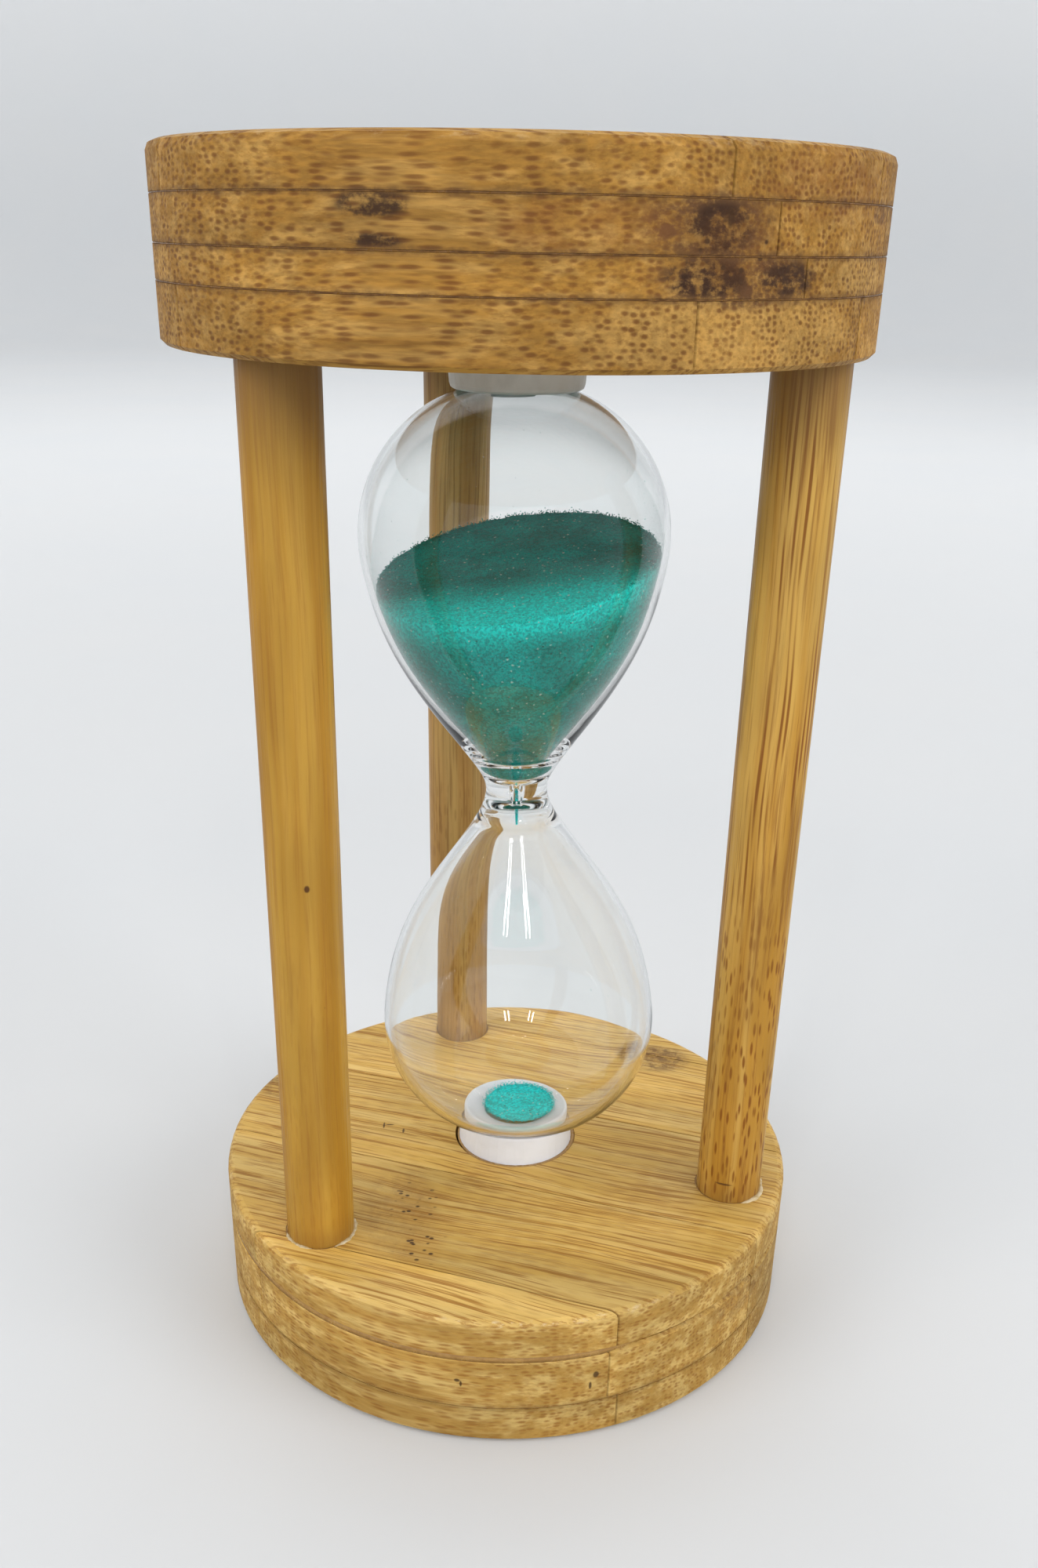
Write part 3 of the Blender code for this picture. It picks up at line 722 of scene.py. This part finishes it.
def glass_mesh():
    tip, inner_tip = cap_end(0.0, LOWER, bulb_radius), cap_end(0.0, LOWER, chamber_radius)
    hole_top = cap_end(FILL_HOLE, UPPER, bulb_radius)
    hole_bottom = cap_end(FILL_HOLE, UPPER, chamber_radius)
    bowl_end = ORIFICE_HALF + BOWL_HEIGHT
    low_inside = bowl_stations() + stations(LOWER, inner_tip, bowl_end, 40, 26)
    high_inside = bowl_stations() + stations(UPPER, hole_bottom, bowl_end, 40, 26)
    inside = [(0.0, -inner_tip)] + [(hollow(-h), -h) for h in reversed(low_inside)]
    inside += [(hollow(h), h) for h in high_inside]
    outside = [(FILL_HOLE, hole_bottom), (FILL_HOLE, hole_top)]
    outside += [(bulb_radius(h), h) for h in reversed(stations(UPPER, hole_top, 0.0, 44, 26))]
    outside += [(bulb_radius(-h), -h) for h in stations(LOWER, tip, 0.0, 44, 26)[1:]]
    outside += [(0.0, -tip)]
    verts, faces = turned(inside, GLASS_STEPS, wave)
    more, more_faces = turned(outside, GLASS_STEPS)
    count = len(verts)
    last_ring = count - GLASS_STEPS
    verts += more
    faces += [tuple(count + i for i in face) for face in more_faces]
    for step in range(GLASS_STEPS):
        after = (step + 1) % GLASS_STEPS
        faces.append((last_ring + step, last_ring + after, count + after, count + step))
    return [TILT @ v for v in verts], faces


bulb = add_mesh("bulb_fine", *glass_mesh(), glass, "clear_glass", "glass")
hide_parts("glass_bulb")
bulb.visible_shadow = False  # clear glass barely shades what is inside it


# Sand ---------------------------------------------------------------------------------------------

SAND_GAP = 0.12 * MM
SAND_STEPS = 256


def above_surface(point):
    """How far a point in the row frame is above the sand's sloping surface."""
    rise = SAND_SLOPE[0] * (point.x - SURFACE_POINT.x) + SAND_SLOPE[1] * (point.y - SURFACE_POINT.y)
    return point.z - SURFACE_POINT.z - rise


def sand_wall(angle, height):
    radius = max(0.0, hollow(height) - SAND_GAP)
    return TILT @ around(radius, angle, height)


def sand_edge(angle):
    """Height, along the bulb's axis, at which the sand's surface meets the glass: on the slope,
    but a little higher at the right, lower behind that, and ragged."""
    low, high = 10 * MM, 42 * MM
    for _ in range(40):
        trial = (low + high) / 2
        if above_surface(sand_wall(angle, trial)) < 0:
            low = trial
        else:
            high = trial
    lift = 0.55 * math.exp(-((degrees_from(angle, 20) / 24) ** 2))
    lift -= 0.45 * math.exp(-((degrees_from(angle, 62) / 22) ** 2))
    ragged = noise.noise(around(9, angle, 3.0))
    return low + (lift + 0.22 * ragged) * MM


def sand_mesh():
    """Rings up the inside of the glass, then rings inwards over the sloping surface."""
    start, wall_rings, surface_rings = ORIFICE_HALF + 0.25 * MM, 70, 56
    angles = [2 * math.pi * step / SAND_STEPS for step in range(SAND_STEPS)]
    edges = [sand_edge(angle) for angle in angles]
    verts = []
    for ring in range(wall_rings + 1):
        share = (ring / wall_rings) ** 1.2
        verts += [sand_wall(angle, start + (edge - start) * share) for angle, edge in zip(angles, edges)]
    rim = verts[-SAND_STEPS:]
    for ring in range(1, surface_rings):
        share = 1 - ring / surface_rings
        for point in rim:
            flat = SURFACE_POINT.lerp(point, share)
            slow = noise.noise(flat * 110) * 0.35 * (1 - share**4)
            grain = noise.noise(flat * 3400) * 0.10 + noise.noise(flat * 1400) * 0.06
            verts.append(flat + Vector((0, 0, (slow + grain) * MM)))
    faces = closed_rings(verts, SAND_STEPS, TILT @ Vector((0, 0, start)), SURFACE_POINT)
    return verts, faces


fill = add_mesh("sand_fill_fine", *sand_mesh(), sand_body, "teal_sand", "glass")
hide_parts("sand_upper")


def grain_cloud(name, spots, size, mat):
    """Loose grains: one small uneven solid at each spot."""
    corners = [Vector(c) for c in ((1, 0, 0), (-1, 0, 0), (0, 1, 0), (0, -1, 0), (0, 0, 1), (0, 0, -1))]
    sides = [(0, 2, 4), (2, 1, 4), (1, 3, 4), (3, 0, 4), (2, 0, 5), (1, 2, 5), (3, 1, 5), (0, 3, 5)]
    verts, faces = [], []
    for spot in spots:
        first = len(verts)
        verts += [spot + c * size * random.uniform(0.6, 1.25) for c in corners]
        faces += [tuple(first + i for i in side) for side in sides]
    return add_mesh(name, verts, faces, mat, "teal_sand", "glass", smooth=False)


def edge_grains():
    """Grains thrown up against the glass just above the sand's edge."""
    spots = []
    for _ in range(1500):
        angle = random.uniform(0, 2 * math.pi)
        rise = abs(random.gauss(0, 0.22)) * MM
        height = sand_edge(angle) + rise
        radius = hollow(height) - SAND_GAP - 0.1 * MM - random.uniform(0, 0.35) * MM
        spots.append(TILT @ around(radius, angle, height))
    return spots


grain_cloud("sand_edge_grains", edge_grains(), 0.10 * MM, sand_body)

HEAP_RADIUS = 5.2 * MM
HEAP_DOME = 0.15 * MM


def heap_floor(radius):
    """Height, along the bulb's axis, of the heap's underside on the inside of the lower cap."""
    return -cap_end(radius, LOWER, chamber_radius) + SAND_GAP


def heap_mesh():
    """The first grains in the lower bulb: an uneven low dome over the inside of its cap."""
    steps, rings = 96, 26
    angles = [2 * math.pi * step / steps for step in range(steps)]
    outline = []
    for angle in angles:
        wander = noise.noise(around(1.6, angle, 9.0))
        ragged = noise.noise(around(9, angle, 2.0))
        outline.append(HEAP_RADIUS * (1 + 0.05 * wander + 0.02 * ragged))
    edge_floor = heap_floor(HEAP_RADIUS)
    verts = []
    for ring in range(1, rings + 1):
        share = ring / rings
        for angle, wide in zip(angles, outline):
            verts.append(TILT @ around(wide * share, angle, heap_floor(wide * share)))
    for ring in range(rings, 0, -1):
        share = ring / rings
        for angle, wide in zip(angles, outline):
            rough = noise.noise(around(wide * share, angle, 0.0) * 2600)
            height = edge_floor + HEAP_DOME * (1 - share**2) + 0.08 * MM * rough
            height = max(height, heap_floor(wide * share) + 0.02 * MM)
            verts.append(TILT @ around(wide * share, angle, height))
    bottom = TILT @ Vector((0, 0, heap_floor(0.0)))
    top = TILT @ Vector((0, 0, edge_floor + HEAP_DOME))
    return verts, closed_rings(verts, steps, bottom, top)


# The heap wears the painted-light copy of the sand
heap = add_mesh("sand_heap_fine", *heap_mesh(), sand_lit_copy, "teal_sand", "glass")
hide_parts("sand_lower")


def heap_grains():
    """Grains that have rolled to the heap's edge and a little past it."""
    spots = []
    for _ in range(1000):
        angle = random.uniform(0, 2 * math.pi)
        radius = HEAP_RADIUS * (1 + random.gauss(0.0, 0.05))
        height = heap_floor(radius) + random.uniform(0.05, 0.18) * MM
        spots.append(TILT @ around(radius, angle, height))
    return spots


def dust_motes():
    """Specks of dust that cling to the inside of the glass in both bulbs."""
    spots = []
    for number in range(110):
        angle = random.uniform(0, 2 * math.pi)
        if number % 2:
            height = sand_edge(angle) + random.uniform(1, 12) * MM
        else:
            height = random.uniform(-46, -9) * MM
        spots.append(TILT @ around(hollow(height) - SAND_GAP, angle, height))
    return spots


# Grains round the heap wear the painted-light copy of the sand
grain_cloud("sand_heap_grains", heap_grains(), 0.10 * MM, sand_lit_copy)
grain_cloud("sand_dust_motes", dust_motes(), 0.06 * MM, sand_body)


def stream_grains():
    """The falling thread: packed in the orifice, thinning out as it falls."""
    spots = []
    for _ in range(900):
        fall = random.random() ** 1.5
        height = (1.4 - 7.4 * fall) * MM
        spread = 0.26 * MM * math.sqrt(random.random()) * (1 - 0.45 * fall)
        angle = random.uniform(0, 2 * math.pi)
        spots.append(TILT @ around(spread, angle, height))
    return spots


# The falling thread wears the painted-light copy of the sand
thread = grain_cloud("sand_thread_grains", stream_grains(), 0.075 * MM, sand_lit_copy)
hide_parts("sand_stream")


# Glue ---------------------------------------------------------------------------------------------


def round_ring(name, centre, inner, outer, low, high, mat, slot, steps=160, recess=None):
    """A flat ring of glue; recess(angle) draws its outer edge in."""
    axis = Vector((centre.x, centre.y, 0.0))
    verts, faces = [], []
    for step in range(steps):
        angle = 2 * math.pi * step / steps
        wide = outer - (recess(angle) if recess else 0.0)
        for radius, height in ((inner, low), (wide, low), (wide, high), (inner, high)):
            verts.append(axis + around(radius, angle, height))
    for step in range(steps):
        a, b = 4 * step, 4 * ((step + 1) % steps)
        faces += [(a + i, b + i, b + (i + 1) % 4, a + (i + 1) % 4) for i in range(4)]
    return add_mesh(name, verts, faces, mat, slot, "frame")


def groove_depth(angle):
    """The base's upper groove is open at the right and filled round the front and left."""
    away = degrees_from(angle, -22)
    return (0.12 + 1.0 * max(0.0, 1 - max(0.0, away - 34) / 16)) * MM


THIN_LINE = 0.09 * MM  # half the thickness of a glue line
WIDE_LINE = 0.42 * MM  # half the thickness of the glue that shows in the base's upper groove
BASE_CENTRE = Vector((0, 0, 0))
round_ring("glue_ring_base_high", BASE_CENTRE, BASE_RADIUS - 1.3 * MM, BASE_RADIUS,
           BASE_LEVELS[1] - WIDE_LINE, BASE_LEVELS[1] + WIDE_LINE, glue_tan, "bamboo_base",
           recess=groove_depth)
round_ring("glue_ring_base_low", BASE_CENTRE, BASE_RADIUS - 2.1 * MM, BASE_RADIUS - 0.1 * MM,
           BASE_LEVELS[0] - THIN_LINE, BASE_LEVELS[0] + THIN_LINE, glue_tan, "bamboo_base")
for number, level in enumerate(TOP_LEVELS, 1):
    round_ring(f"glue_ring_top_{number}", TOP_CENTRE, TOP_RADIUS - 1.5 * MM, TOP_RADIUS - 0.08 * MM,
               level - THIN_LINE, level + THIN_LINE, glue_dark, "bamboo_top")


def dowel_end(node, end):
    """Centre of a dowel at its foot (end 0) or head (end 1), where it leaves the disc."""
    level = (BASE_HIGH.z, TOP_LOW.z)[end]
    verts = [v.co for v in frame["nodes"][node].data.vertices]
    near = [v for v in verts if (v.z > middle(node).z) == bool(end)]
    centre = sum(near, Vector()) / len(near)
    other = sum(verts, Vector()) / len(verts)
    return other.lerp(centre, (level - other.z) / (centre.z - other.z))


for node_name in dowel_finishes:
    for end, name, slot in ((0, "foot", "bamboo_base"), (1, "head", "bamboo_top")):
        spot, inward = dowel_end(node_name, end), (-1, 1)[end]
        low, high = sorted((spot.z + inward * 0.08 * MM, spot.z + inward * 0.5 * MM))
        round_ring(f"glue_{name}_{node_name}", spot, DOWEL_RADIUS - 0.02 * MM, DOWEL_RADIUS + 0.27 * MM,
                   low, high, glue_dark if end else glue_tan, slot, steps=64)


def bead(name, node, end, reach, start, stop, size):
    """A lumpy bead of squeezed-out glue at a dowel's foot (end 0) or head (end 1), along an arc
    from start to stop, in degrees."""
    centre = dowel_end(node, end)
    outward, slot = ((1, "bamboo_base"), (-1, "bamboo_top"))[end]
    verts, faces, steps, sides = [], [], 60, 8
    for step in range(steps + 1):
        share = step / steps
        angle = math.radians(start + (stop - start) * share)
        lump = 0.75 + 0.6 * noise.noise(Vector((share * 9, centre.x * 900, 4.0)))
        wide = size * max(0.05, lump) * min(1.0, 6 * share, 6 * (1 - share)) ** 0.5
        for side in range(sides + 1):
            turn = math.pi * side / sides
            height = outward * (0.55 * wide * math.sin(turn) - 0.04 * MM)
            verts.append(centre + around(reach + wide * math.cos(turn), angle, height))
    for step in range(steps):
        a, b = step * (sides + 1), (step + 1) * (sides + 1)
        faces += [(a + side, a + side + 1, b + side + 1, b + side) for side in range(sides)]
        faces.append((a + sides, a, b, b + sides))
    faces += [tuple(range(sides, -1, -1)), tuple(range(steps * (sides + 1), len(verts)))]
    return add_mesh(name, verts, faces, glue_clear, slot, "frame")


bead("glue_bead_left_foot", "dowel_left", 0, 4.7 * MM, -60, 40, 0.42 * MM)
bead("glue_bead_left_foot_back", "dowel_left", 0, 4.7 * MM, 195, 262, 0.34 * MM)
bead("glue_bead_left_head", "dowel_left", 1, 4.75 * MM, -150, -20, 0.3 * MM)
bead("glue_bead_right_foot", "dowel_right", 0, 4.8 * MM, -75, 75, 0.5 * MM)


def seat_gap(angle):
    """The seat's recess is filled except at its left, where a dark gap shows."""
    return 0.36 * MM * max(0.0, 1 - max(0.0, degrees_from(angle, 185) - 25) / 15)


round_ring("glue_ring_lower_seat", middle("lower_seat"), 8.5 * MM, 9.18 * MM,
           BASE_HIGH.z - 0.8 * MM, BASE_HIGH.z - 0.1 * MM, glue_tan, "bamboo_base", recess=seat_gap)


# Stage --------------------------------------------------------------------------------------------

FLOOR_RADIUS, FLOOR_BEND, WALL_TOP = 1.9, 0.7, 2.6
STAGE_DROP = 0.2 * MM  # so that the floor and the base's underside aren't in one plane


def stage_finish():
    """Pale all over: paler far out, with painted shade near the middle and a painted glow up the wall."""
    finish = Finish("pale_stage", 0.8)
    place = finish.place()
    # Painted shade: the floor darkens towards the middle, round the timer
    shade = finish.remap(finish.from_axis(place), 150.0, 1100.0, 0.66, 0.93)
    # Painted light: the wall glows more the higher it goes
    painted_glow = finish.remap(finish.parts(place)[2], 30.0, 700.0, 0.0, 0.2)
    finish.feed(finish.shader.inputs["Emission Strength"], painted_glow)
    pale = finish.mix(finish.noise(place, 0.01, 3.0), (0.96, 0.98, 1.0), (1.0, 1.0, 1.0))
    return finish.paint(finish.tone(pale, shade))


def stage_bowl():
    """A floor that curves up all round into one plain backdrop, behind every light."""
    profile = [(FLOOR_RADIUS + FLOOR_BEND, WALL_TOP)]
    for step in range(12, 0, -1):
        turn = math.pi / 2 * step / 12
        profile.append((FLOOR_RADIUS + FLOOR_BEND * math.sin(turn), FLOOR_BEND * (1 - math.cos(turn))))
    profile += [(FLOOR_RADIUS, 0.0), (0.3, 0.0), (0.0, 0.0)]
    verts, faces = turned([(radius, height - STAGE_DROP) for radius, height in profile], 96)
    bowl = new_object("pale_stage", verts, faces, stage_finish())
    bowl.visible_glossy = False  # the glass and the wood mirror the room instead


stage_bowl()


# Light and camera ---------------------------------------------------------------------------------


def panel(name, azimuth, elevation, distance, size, power, spread=180, colour=(1.0, 1.0, 1.0)):
    """A soft panel that faces the timer; azimuth runs from the front (-Y) towards +X."""
    data = bpy.data.lights.new(name, "AREA")
    data.shape = "RECTANGLE"
    data.size, data.size_y = size
    data.energy = power
    data.color = colour
    data.spread = math.radians(spread)
    light = bpy.data.objects.new(name, data)
    turn, lift = math.radians(azimuth), math.radians(elevation)
    way = Vector((math.sin(turn) * math.cos(lift), -math.cos(turn) * math.cos(lift), math.sin(lift)))
    light.location = PIVOT + way * distance
    light.rotation_mode = "QUATERNION"
    light.rotation_quaternion = way.to_track_quat("Z", "Y")
    bpy.context.scene.collection.objects.link(light)
    return light


for number, azimuth in enumerate((-19, -14.5, 10.5, 15), 1):
    panel(f"window_{number}", azimuth, 42, 1.3, (0.022, 0.26), 0.6)
for light in (
    panel("front_left", -58, 30, 1.4, (0.9, 0.9), 1.6, 80),
    panel("front_right", 62, 30, 1.4, (0.9, 0.9), 1.95, 80),
    panel("overhead", 180, 65, 1.7, (1.8, 1.8), 10, colour=(1.0, 0.99, 0.97)),
):
    light.visible_glossy = False  # too soft and broad to be made out in the glass
    light.visible_transmission = False

world = bpy.data.worlds.new("studio")
world.use_nodes = True
bpy.context.scene.world = world
sky_nodes, sky_links = world.node_tree.nodes, world.node_tree.links
sky = sky_nodes["Background"]
sky.inputs["Color"].default_value = (0.93, 0.965, 1.0, 1.0)
way = sky_nodes.new("ShaderNodeTexCoord").outputs["Generated"]
lean = sky_nodes.new("ShaderNodeVectorMath")  # brighter behind and above, dim in front
lean.operation = "DOT_PRODUCT"
lean.inputs[1].default_value = (0.0, 0.8, 0.5)
fade = sky_nodes.new("ShaderNodeMapRange")
for name, value in (("From Min", -0.4), ("From Max", 0.7), ("To Min", 0.03), ("To Max", 0.7)):
    fade.inputs[name].default_value = value
sky_links.new(way, lean.inputs[0])
sky_links.new(lean.outputs["Value"], fade.inputs["Value"])
sky_links.new(fade.outputs["Result"], sky.inputs["Strength"])
paths = bpy.context.scene.cycles  # glass needs more bounces than the usual number
paths.max_bounces, paths.glossy_bounces, paths.transmission_bounces = 24, 16, 20
paths.sample_clamp_indirect = 0.0

# The view, as fitted to the outlines of the discs, the dowels and the bulb
YAW, PITCH, ROLL = (math.radians(angle) for angle in (0.0607, 26.2825, 1.1346))
EYE = Vector((-0.000195, -0.184136, 0.144589))
SENSOR_WIDTH, FOCAL_LENGTH = 36.0, 33.004
LENS_SHIFT = (0.00547, 0.10006)

forward = Vector((math.sin(YAW) * math.cos(PITCH), math.cos(YAW) * math.cos(PITCH), -math.sin(PITCH)))
level_right = Vector((math.cos(YAW), -math.sin(YAW), 0.0))
level_up = level_right.cross(forward)
right = math.cos(ROLL) * level_right + math.sin(ROLL) * level_up
upward = -math.sin(ROLL) * level_right + math.cos(ROLL) * level_up
lens = bpy.data.cameras.new("view")
lens.sensor_width = SENSOR_WIDTH
lens.lens = FOCAL_LENGTH
lens.shift_x, lens.shift_y = LENS_SHIFT
lens.clip_start = 0.01
camera = bpy.data.objects.new("view", lens)
pose = Matrix((right, upward, -forward)).transposed().to_4x4()
pose.translation = EYE
camera.matrix_world = pose
bpy.context.scene.collection.objects.link(camera)
bpy.context.scene.camera = camera
bpy.context.scene.view_settings.view_transform = "Standard"
